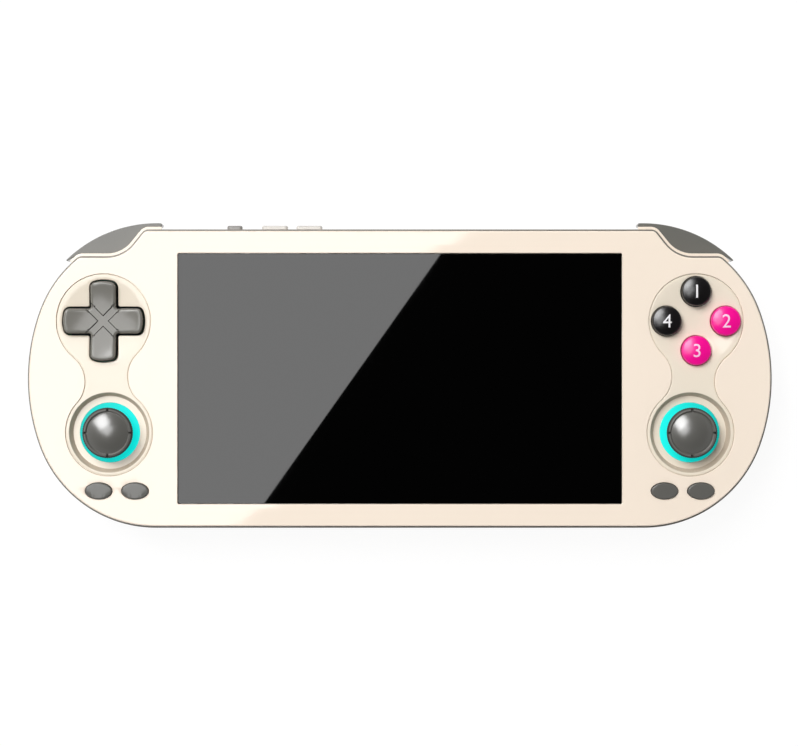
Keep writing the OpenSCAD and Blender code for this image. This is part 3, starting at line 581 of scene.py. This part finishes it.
# Front shell: the face of the console, moulded in the same polished cream ABS.
# It has a pocket for the lens, an opening for each control plate and a hole for each oval button.
plate_z = trim_high.z
face_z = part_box("front_shell")[1].z / MM
lens_low, lens_high = (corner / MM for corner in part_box("screen_lens"))
pad_box = [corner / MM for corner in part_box("dpad")]
pad_at = ((pad_box[0].x + pad_box[1].x) / 2, (pad_box[0].y + pad_box[1].y) / 2)
lobe_top, lobe_top_r = pad_at, 11.85
lobe_low, lobe_low_r = (-stick_at[0], stick_at[1]), 10.95
waist_r = 7.9


def edge_of(hole, low, high, radius):
    """A hole with an eased upper edge, as a loop and its rim profile."""
    return hole, [(-depth, z) for depth, z in rounded(low, high, 0, radius, steps=3)]


def turn_to(start, end, way):
    """The end angle, taken round in the given way from the start."""
    while (end - start) * way < 0:
        end += 360 * way
    return end


def plate_loop(off):
    """Outline of the left control plate: two lobes joined by a waist."""
    span = math.dist(lobe_top, lobe_low)
    ux, uy = ((b - a) / span for a, b in zip(lobe_top, lobe_low))
    reach, low_reach = lobe_top_r + waist_r, lobe_low_r + waist_r
    along = (reach ** 2 - low_reach ** 2 + span ** 2) / (2 * span)
    aside = math.sqrt(reach ** 2 - along ** 2)
    foot = (lobe_top[0] + along * ux, lobe_top[1] + along * uy)
    outer, inner_side = ((foot[0] + s * aside * uy, foot[1] - s * aside * ux) for s in (1, -1))
    loop = []
    for centre, r, start, end, way, count in (
            (lobe_top, lobe_top_r + off, inner_side, outer, 1, 72),
            (outer, waist_r - off, lobe_top, lobe_low, -1, 24),
            (lobe_low, lobe_low_r + off, outer, inner_side, 1, 72),
            (inner_side, waist_r - off, lobe_low, lobe_top, -1, 24)):
        a = bearing(centre, start)
        loop += arc(centre, r, a, turn_to(a, bearing(centre, end), way), count)
    return tidy(loop)


def rectangle(high, grow, radius):
    """A rectangle round the middle with rounded corners, from its upper right corner, grown on every side."""
    x, y = high.x + grow - radius, high.y + grow - radius
    corners = ((x, -y), (x, y), (-x, y), (-x, -y))
    return tidy([p for k, c in enumerate(corners) for p in arc(c, radius, 90 * k - 90, 90 * k, 5)])


def ellipse(centre, a, b, count=72):
    """An ellipse as a loop."""
    turns = [2 * math.pi * i / count for i in range(count)]
    return [(centre[0] + a * math.cos(t), centre[1] + b * math.sin(t)) for t in turns]


def middle_of(node):
    """Middle of a CAD node seen from above, in mm."""
    low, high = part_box(node)
    return (low.x + high.x) / 2 / MM, (low.y + high.y) / 2 / MM


oval_nodes = ("menu_button", "function_button", "select_button", "start_button")
oval_at = {node: middle_of(node) for node in oval_nodes}
oval_a, oval_b, oval_gap = 3.325, 2, 0.15
ledge_w, ledge_z = 1.35, lens_low.z
lens_gap, pocket_r = 0.15, 0.45
opening_edge = 0.12
pocket_rim = [(ledge_w, plate_z), (ledge_w, ledge_z), (0, ledge_z)]
pocket_rim += [(-depth, z) for depth, z in rounded(ledge_z, face_z, 0, opening_edge, steps=3)[1:]]
openings = [plate_loop(0), mirrored(plate_loop(0))]
openings += [ellipse(at, oval_a + oval_gap, oval_b + oval_gap) for at in oval_at.values()]
face_holes = [(rectangle(lens_high, lens_gap, pocket_r), pocket_rim)]
face_holes += [edge_of(loop, plate_z, face_z, opening_edge) for loop in openings]
trim_proud, face_edge = 0.5, 0.35
face_outer = (case_loop(trim_proud), rounded(plate_z, face_z, 0, face_edge))
fit(moulding("front_face", face_outer, face_holes), cream_abs, "console_body", "cream_shell", "front_shell")

# Control plates: an inlay on each side under the controls, moulded in slightly warmer cream ABS.
# Each is clipped in from behind by its flange, is dished round the pad or the buttons,
# and has a well for its stick.
PLATE = "F1E6D4"
# Taupe for the well's wall: painted shade
WELL_SHADE_TAUPE = "CDB9A6"
flange_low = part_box("left_control_plate")[0].z / MM
inlay_drop, well_depth, seam_depth = 0.2, 1.8, 0.35
inlay_z = face_z - inlay_drop
well_floor = inlay_z - well_depth
seam_z = inlay_z - seam_depth
seam, seam_touch = 0.14, 0.02
dish_r, dish_depth, dish_ease = 11.2, 0.9, 1.25
upper_face = 0.3
well_r, well_floor_r = 10, 9.2
ring_hole_r, ring_hole_edge = 7.53, 0.05
flange_w = 1.2
plate_edge, hole_edge = 0.12, 0.2
plate_rim = [(-flange_w - seam, flange_low), (-flange_w - seam, plate_z), (seam_touch - seam, plate_z)]
plate_rim += [(seam_touch - seam, seam_z), (0, seam_z)] + rounded(seam_z, inlay_z, 0, plate_edge, steps=4)[1:]
floor_ease, mouth_ease = 0.2, 0.2
liner_t, liner_top_t = 0.3, 0.05
liner_face = [
    (well_floor_r - floor_ease / 3, well_floor), (well_floor_r + floor_ease / 3, well_floor + floor_ease),
    (well_r - mouth_ease / 3, inlay_z - mouth_ease), (well_r, inlay_z - mouth_ease / 2)]
liner_back = [(well_floor_r + liner_t, well_floor), (well_r + liner_top_t, inlay_z - mouth_ease / 2)]
ring_hole = [
    (ring_hole_r, flange_low), (ring_hole_r, well_floor - ring_hole_edge),
    (ring_hole_r + ring_hole_edge, well_floor)]
well_wall = [(well_r - r, z) for r, z in ring_hole + liner_back + [(well_r + mouth_ease / 2, inlay_z)]]
pad_half = (pad_box[1].x - pad_box[0].x) / 2
arm_half, pad_bow, pad_corner, pad_fillet = 3.1, 8, 1.2, 0.5
pad_gap = 0.5
quarter_turns = ((1, 0), (0, 1), (-1, 0), (0, -1))


def quarter_turned(points, turn):
    """Points turned about the origin by a quarter turn, given as its cosine and sine."""
    c, s = turn
    return [(c * u - s * v, s * u + c * v) for u, v in points]


def pad_loop(fillet):
    """Outline of the direction pad: four arms with bowed ends and filleted inner corners, at the origin."""
    y = arm_half - pad_corner
    spread = math.degrees(math.asin(y / (pad_bow - pad_corner)))
    x = pad_half - pad_bow + (pad_bow - pad_corner) * math.cos(math.radians(spread))
    inner_c = arm_half + fillet
    arm = (
        arc((inner_c, -inner_c), fillet, 180, 90, 5) + arc((x, -y), pad_corner, -90, -spread, 6)
        + arc((pad_half - pad_bow, 0), pad_bow, -spread, spread, 16)
        + arc((x, y), pad_corner, spread, 90, 6))
    return tidy([p for turn in quarter_turns for p in quarter_turned(arm, turn)])


def moved(loop, centre):
    """A loop moved from the origin to a centre."""
    return [(x + centre[0], y + centre[1]) for x, y in loop]


def finely(loop, step):
    """A loop with points at most a step apart."""
    dense = []
    for (ax, ay), (bx, by) in zip(loop, loop[1:] + loop[:1]):
        parts = max(1, math.ceil(math.dist((ax, ay), (bx, by)) / step))
        dense += [(ax + (bx - ax) * i / parts, ay + (by - ay) * i / parts) for i in range(parts)]
    return dense


def dished(centre):
    """Bends a plate's upper face into a shallow dish round a centre."""
    def bend(x, y, z):
        away = math.dist((x, y), centre) / dish_r
        if z < plate_z + upper_face or away > 1:
            return z
        return z - dish_depth * (1 - away ** 2) ** dish_ease
    return bend


# ABS from a polished tool, a shade warmer than the shells: a clear but slightly softer reflection
plate_abs = surface(
    "warm_cream_abs_polished", PLATE, drift=0.015, patch=10,
    roughness=(0.06, 0.09), grain=1.2, relief=0.0005, IOR=1.5)
# A satin taupe over the well's wall: painted shade that darkens the wall beyond its own shading
well_shade_abs = surface(
    "well_wall_painted_shade", WELL_SHADE_TAUPE, drift=0.02, patch=5,
    roughness=(0.2, 0.28), grain=0.6, relief=0.0006, IOR=1.45)
button_nodes = ("button_north", "button_east", "button_south", "button_west")
button_at = {node: middle_of(node) for node in button_nodes}
action_r, button_gap = 3.7, 0.15
hole_step, rim_step, dish_step = 0.4, 0.6, 0.7
pad_hole = finely(inset(moved(pad_loop(2 * pad_fillet), pad_at), -pad_gap), hole_step)
button_holes = [ellipse(at, action_r + button_gap, action_r + button_gap) for at in button_at.values()]
buttons_at = (-pad_at[0], pad_at[1])
for side, sign, holes, middle in (("left", -1, [pad_hole], pad_at), ("right", 1, button_holes, buttons_at)):
    loop = finely(plate_loop(-seam), rim_step)
    well = ellipse((-stick_at[0], stick_at[1]), well_r, well_r, count=120)
    if side == "right":
        loop, well = mirrored(loop), mirrored(well)
    openings = [(well, well_wall)] + [edge_of(hole, flange_low, inlay_z, hole_edge) for hole in holes]
    plate = moulding(f"{side}_inlay", (loop, plate_rim), openings, dished(middle), dish_step)
    fit(plate, plate_abs, "console_body", "cream_plate", f"{side}_control_plate")
    stick_c = (sign * stick_at[0], stick_at[1])
    # Each well's wall is lined with a darker taupe piece: painted shade for the wall's shaded side
    liner = turned(f"{side}_well_shade_liner", liner_face + liner_back[::-1], stick_c, closed=True)
    fit(liner, well_shade_abs, "console_body", "cream_plate")

# Light rings: a ring of clear polycarbonate round each stick, lit from the LED board below.
# Only its top shows, as a bright band between the well's floor and the stick.
# It is brightest beside the screen, and its glow is painted fainter towards the console's end, as painted
# shade where the stick's cap shades the ring.
CYAN = "0B8F88"
GLOW = "08F2EA"
ring_low, ring_high = (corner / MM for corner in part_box("left_light_ring"))
ring_in, ring_out = 5.5, (ring_high.x - ring_low.x) / 2
ring_proud, ring_edge = 0.15, 0.25
ring_top = well_floor + ring_proud
ring_profile = [(ring_in, ring_low.z), (ring_out, ring_low.z)]
ring_profile += [(ring_out - depth, z) for depth, z in rounded(ring_low.z, ring_top, 0, ring_edge)[1:]]
ring_profile += [(ring_in, ring_top)]
# Moulded polycarbonate, lit from below: a saturated cyan glow with hardly a reflection
lit = surface(
    "lit_polycarbonate", CYAN, drift=0.04, patch=3,
    roughness=(0.45, 0.55), grain=0.6, relief=0.001, IOR=1.3, Emission_Color=linear(GLOW))
lit_tree = lit.node_tree
lit_shader = next(n for n in lit_tree.nodes if n.type == "BSDF_PRINCIPLED")
# The glow fades outwards: painted shade for the cap's shadow on the ring
glow_unshaded, glow_painted_shade = 0.8, 0.36
across = add(lit_tree, "SeparateXYZ", {0: add(lit_tree, "TexCoord").outputs["Object"]})
outwards = add(lit_tree, "Math", {0: across.outputs["X"]}, operation="ABSOLUTE")
ring_span = [(stick_at[0] + off) * MM for off in (-ring_out, ring_out)]
fade = add(lit_tree, "MapRange", {
    0: outwards.outputs[0], 1: ring_span[0], 2: ring_span[1], 3: glow_unshaded, 4: glow_painted_shade})
lit_tree.links.new(fade.outputs[0], lit_shader.inputs["Emission Strength"])
for side, sign in (("left", -1), ("right", 1)):
    ring = turned(f"{side}_glow", ring_profile, (sign * stick_at[0], stick_at[1]), closed=True)
    fit(ring, lit, "console_body", "light", f"{side}_light_ring")

# Direction pad: one grey ABS cross that rocks on a ball, dished so that a thumb finds its middle.
# A crossed channel, with a gutter along each edge, parts the four arms.
PAD = "7A7872"
pad_low, pad_top = (corner.z for corner in pad_box)
pad_edge, pad_dish, pad_bent_t = 0.7, 0.95, 1.2
gutter_depth, channel_depth = 0.75, 0.3
channel_half, gutter_half, channel_floor = 1.03, 0.94, 0.82


def pad_bend(x, y, z):
    """Dishes the pad's top and sinks the crossed channel, with a gutter along each of its edges."""
    if z < pad_top - pad_bent_t:
        return z
    u, v = x - pad_at[0], y - pad_at[1]
    away = math.hypot(u, v) / pad_half
    beside = min(abs(u - v), abs(u + v)) / math.sqrt(2)
    fall = min(max((channel_half - beside) / (channel_half - gutter_half), 0), 1)
    rise = min(max((gutter_half - beside) / (gutter_half - channel_floor), 0), 1)
    channel = gutter_depth * fall - (gutter_depth - channel_depth) * rise
    return z - pad_dish * max(1 - away ** 2, 0) - channel


crease_out, crease_parts = 0.35, 10
creases = []
for turn in quarter_turns:
    for half in (channel_half, gutter_half, channel_floor):
        tip, reach = half * math.sqrt(2), arm_half + crease_out
        line = quarter_turned([(reach, reach - tip), (tip, 0), (reach, tip - reach)], turn)
        fine = [
            tuple(Vector(a).lerp(Vector(b), i / crease_parts))
            for a, b in zip(line, line[1:]) for i in range(crease_parts)]
        creases.append(moved(fine + [line[-1]], pad_at))
cross_step, cross_spacing = 0.3, 0.42
cross = finely(moved(pad_loop(pad_fillet), pad_at), cross_step)
cross_rim = rounded(pad_low, pad_top, 0, pad_edge, steps=6)
pad = moulding("pad_cross", (cross, cross_rim), (), pad_bend, cross_spacing, creases)
# ABS from a lightly sparked tool: satin, so that the dish shades softly from arm to arm
pad_abs = surface(
    "pad_grey_abs_satin", PAD, drift=0.025, patch=5,
    roughness=(0.12, 0.16), grain=0.5, relief=0.0006, IOR=1.5)
fit(pad, pad_abs, "dpad", "grey_button", "dpad")

# Action buttons: four domed caps on one membrane, two black and two hot pink, moulded in glossy ABS.
# Each carries a plain number from one to four, pad-printed on its dome.
dome_box = [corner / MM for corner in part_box("button_north")]
action_low, action_top = (corner.z for corner in dome_box)
flange_r = (dome_box[1].x - dome_box[0].x) / 2
flange_clear, flange_t, stem_r = 0.1, 0.9, 2
flange_top = flange_low - flange_clear
action_sphere, action_steps = 10, 14
ease, shoulder_drop = 0.45, 0.55
number_h, ink_t, ink_step = 3.3, 0.03, 0.35


def dome_z(r):
    """Height of an action button's dome at a radius."""
    return action_top - action_sphere + math.sqrt(action_sphere ** 2 - r * r)


shoulder_z = dome_z(action_r) - shoulder_drop
shoulder_rise = dome_z(action_r - ease) - shoulder_z
shoulder = [
    (action_r - ease * (1 - math.cos(a)), shoulder_z + shoulder_rise * math.sin(a))
    for a in map(math.radians, range(0, 91, 15))]
dome_radii = [(action_r - ease) * (1 - i / action_steps) for i in range(1, action_steps + 1)]
action_profile = (
    [(0, action_low), (stem_r, action_low), (stem_r, flange_top - flange_t)]
    + [(flange_r, flange_top - flange_t), (flange_r, flange_top), (action_r, flange_top)]
    + shoulder + [(r, dome_z(r)) for r in dome_radii])


def printed_number(name, digit, centre):
    """A numeral as a thin layer of ink that follows the dome."""
    curve = bpy.data.curves.new(name, "FONT")
    curve.body = digit
    curve.resolution_u = 6
    letter = bpy.data.objects.new(name + "_outline", curve)
    scene.collection.objects.link(letter)
    outline = bpy.data.meshes.new_from_object(letter.evaluated_get(bpy.context.evaluated_depsgraph_get()))
    bpy.data.objects.remove(letter)
    ink = bmesh.new()
    ink.from_mesh(outline)
    bmesh.ops.remove_doubles(ink, verts=ink.verts, dist=1e-5)
    xs, ys = ([v.co[i] for v in ink.verts] for i in (0, 1))
    scale = number_h / (max(ys) - min(ys))
    for v in ink.verts:
        v.co.x = (v.co.x - (max(xs) + min(xs)) / 2) * scale
        v.co.y = (v.co.y - (max(ys) + min(ys)) / 2) * scale
    bmesh.ops.triangulate(ink, faces=ink.faces)
    for _ in range(3):
        long_edges = [e for e in ink.edges if e.calc_length() > ink_step]
        bmesh.ops.subdivide_edges(ink, edges=long_edges, cuts=1)
        bmesh.ops.triangulate(ink, faces=ink.faces)
    top = bmesh.ops.extrude_face_region(ink, geom=ink.faces[:])["geom"]
    raised = {v for v in top if isinstance(v, bmesh.types.BMVert)}
    for v in ink.verts:
        height = dome_z(math.hypot(v.co.x, v.co.y)) + (ink_t if v in raised else -ink_t)
        v.co = Vector((v.co.x + centre[0], v.co.y + centre[1], height)) * MM
    bmesh.ops.recalc_face_normals(ink, faces=ink.faces)
    mesh = bpy.data.meshes.new(name)
    ink.to_mesh(mesh)
    ink.free()
    return mesh


# Glossy ABS: deep even colour under a bright skin, with one soft highlight on each dome
black_abs = surface(
    "black_abs_gloss", "141213", drift=0.2, patch=3,
    roughness=(0.22, 0.27), grain=0.8, relief=0.0003, IOR=1.68)
pink_abs = surface(
    "pink_abs_gloss", "FA0F95", drift=0.04, patch=3,
    roughness=(0.22, 0.27), grain=0.8, relief=0.0003, IOR=1.55)
# Pad-print ink: a flat, opaque layer with a weak sheen
white_ink = surface(
    "white_pad_print_ink", "F2F0F2", drift=0.03, patch=0.6,
    roughness=(0.3, 0.4), grain=0.1, relief=0.001)
pink_ink = surface(
    "pale_pink_pad_print_ink", "FFD3F0", drift=0.03, patch=0.6,
    roughness=(0.3, 0.4), grain=0.1, relief=0.001)
black_cap = (black_abs, "black_button", white_ink)
pink_cap = (pink_abs, "pink_button", pink_ink)
caps = (black_cap, pink_cap, pink_cap, black_cap)
for digit, (node, (body_abs, slot, ink)) in enumerate(zip(button_nodes, caps), 1):
    fit(turned(node + "_dome", action_profile, button_at[node]), body_abs, node, slot, node)
    fit(printed_number(node + "_number", str(digit), button_at[node]), ink, node, "white_plastic")

# Oval buttons: a pair under each stick, in grey ABS, pressed against one rubber strip.
# Each has a flange that holds it behind the face, and a flat top with an eased edge.
OVAL = "63625E"
oval_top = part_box("menu_button")[1].z / MM
oval_edge, oval_flange_w, oval_flange_t, oval_clear = 0.3, 0.35, 0.8, 0.1
flange_z = plate_z - oval_clear
oval_rim = [(-oval_flange_w, flange_z - oval_flange_t), (-oval_flange_w, flange_z), (0, flange_z)]
oval_rim += rounded(flange_z, oval_top, 0, oval_edge)[1:]
# ABS from a lightly sparked tool: satin tops that mirror the studio as one even grey
oval_abs = surface(
    "oval_grey_abs_satin", OVAL, drift=0.025, patch=3,
    roughness=(0.12, 0.16), grain=0.5, relief=0.0006, IOR=1.47)
for node, slot in zip(oval_nodes, ("grey_button", "grey_button", "dark_button", "dark_button")):
    button = moulding(node + "_oval", (ellipse(oval_at[node], oval_a, oval_b), oval_rim))
    fit(button, oval_abs, node, slot, node)

# Lens: a sheet of black-backed glass, bonded flush into the front shell over the display.
# Its edge is ground with a fine chamfer.
lens_r, lens_under, lens_over = 0.3, 0.05, 0.1
# Polished glass, printed black behind: it shows only a sharp mirror image of the softbox
glass = surface(
    "black_backed_glass", "030303", drift=0.15, patch=30,
    roughness=(0.008, 0.014), grain=20, relief=0, IOR=1.5)
lens_rim = rounded(lens_low.z, lens_high.z, lens_under, lens_over, steps=3)
lens = moulding("lens_sheet", (rectangle(lens_high, 0, lens_r), lens_rim))
fit(lens, glass, "console_body", "lens", "screen_lens")

# Studio: the console lies on its back on a white floor, and the camera looks straight down on it.
# A large softbox mirrors in the glossy face, and a second one lights it from the upper left.
# The glare's straight edge runs between two pixels of the image.
IMAGE = (798, 746)
MM_PER_PIXEL = 0.25
FACE_PIXEL = (399.8, 378.6)
GLARE_TOP = (440, 253.8)
GLARE_LOW = (264.6, 503.7)
camera_h, sensor_w = 560, 36
softbox_h, softbox_w, softbox_l, softbox_radiance = 900, 420, 440, 4
key_at, key_size, key_radiance = (-1140, 1410, 2400), (1720, 1720), 8.5


def seen(pixel):
    """The point on the console's face that a pixel of the image shows, in mm."""
    return Vector(((pixel[0] - FACE_PIXEL[0]) * MM_PER_PIXEL, (FACE_PIXEL[1] - pixel[1]) * MM_PER_PIXEL))


aim = seen((IMAGE[0] / 2, IMAGE[1] / 2))
camera = bpy.data.objects.new("camera", bpy.data.cameras.new("camera"))
camera.data.sensor_width = sensor_w
camera.data.lens = sensor_w * camera_h / (IMAGE[0] * MM_PER_PIXEL)
camera.location = (aim.x * MM, aim.y * MM, (face_z + camera_h) * MM)
scene.collection.objects.link(camera)
scene.camera = camera


def softbox(name, place, size, radiance, rotation):
    """A rectangular soft light with a given radiance."""
    light = bpy.data.lights.new(name, "AREA")
    light.shape = "RECTANGLE"
    light.size, light.size_y = (side * MM for side in size)
    light.energy = radiance * math.pi * light.size * light.size_y
    lamp = bpy.data.objects.new(name, light)
    lamp.location = Vector(place) * MM
    lamp.rotation_euler = rotation
    scene.collection.objects.link(lamp)


mirrored_ends = [p + (p - aim) * softbox_h / camera_h for p in map(seen, (GLARE_LOW, GLARE_TOP))]
edge = (mirrored_ends[1] - mirrored_ends[0]).normalized()
leftwards = Vector((-edge.y, edge.x))
box_c = (mirrored_ends[0] + mirrored_ends[1]) / 2 + leftwards * softbox_w / 2
along_edge = Euler((0, 0, math.atan2(-leftwards.y, -leftwards.x)))
softbox(
    "mirrored_softbox", (box_c.x, box_c.y, face_z + softbox_h), (softbox_w, softbox_l), softbox_radiance,
    along_edge)
softbox("key_softbox", key_at, key_size, key_radiance, Vector(key_at).to_track_quat("Z", "Y").to_euler())

# Floor: white paper that the camera and the reflections see as plain white, with a faint shadow.
# The light that it throws back on the console is that of a grey sheet.
floor_half = 4
floor_glow = 0.93
FLOOR_GREY = "DADADA"
SHADED_GREY = "555555"
WHITE = "FFFFFF"
floor_mesh = bpy.data.meshes.new("floor")
floor_corners = [(x * floor_half, y * floor_half, 0) for x, y in ((-1, -1), (1, -1), (1, 1), (-1, 1))]
floor_mesh.from_pydata(floor_corners, [], [(0, 1, 2, 3)])
floor = bpy.data.objects.new("floor", floor_mesh)
scene.collection.objects.link(floor)
paper = bpy.data.materials.new("white_studio_paper")
paper.use_nodes = True
tree = paper.node_tree
tree.nodes.clear()
rays = add(tree, "LightPath")
looked_at = add(
    tree, "Math", {0: rays.outputs["Is Camera Ray"], 1: rays.outputs["Is Glossy Ray"]}, operation="MAXIMUM")
looked_at = add(
    tree, "Math", {0: looked_at.outputs[0], 1: rays.outputs["Is Transmission Ray"]}, operation="MAXIMUM")
matt = add(tree, "BsdfDiffuse", {"Color": linear(FLOOR_GREY)})
faint = add(tree, "BsdfDiffuse", {"Color": linear(SHADED_GREY)})
glow = add(tree, "Emission", {"Color": linear(WHITE), "Strength": floor_glow})
bright = add(tree, "AddShader", {0: faint.outputs[0], 1: glow.outputs[0]})
mixed = add(tree, "MixShader", {0: looked_at.outputs[0], 1: matt.outputs[0], 2: bright.outputs[0]})
add(tree, "OutputMaterial", {"Surface": mixed.outputs[0]})
floor_mesh.materials.append(paper)

# Surroundings: pale walls that fade to a dark ceiling, so that the lens stays black beside the glare.
# The camera itself sees plain white behind the floor.
wall_top, ceiling = 0.45, 0.75
wall_light, ceiling_light = 0.4, 0.0
world = bpy.data.worlds.new("studio")
scene.world = world
world.use_nodes = True
tree = world.node_tree
tree.nodes.clear()
way = add(tree, "SeparateXYZ", {0: add(tree, "TexCoord").outputs["Generated"]})
fade = add(tree, "MapRange", {
    0: way.outputs["Z"], 1: wall_top, 2: ceiling, 3: wall_light, 4: ceiling_light},
    interpolation_type="SMOOTHSTEP")
walls = add(tree, "Background", {"Color": linear(WHITE), "Strength": fade.outputs[0]})
white = add(tree, "Background", {"Color": linear(WHITE), "Strength": 1})
rays = add(tree, "LightPath")
mixed = add(tree, "MixShader", {0: rays.outputs["Is Camera Ray"], 1: walls.outputs[0], 2: white.outputs[0]})
add(tree, "OutputWorld", {"Surface": mixed.outputs[0]})
scene.view_settings.view_transform = "Standard"
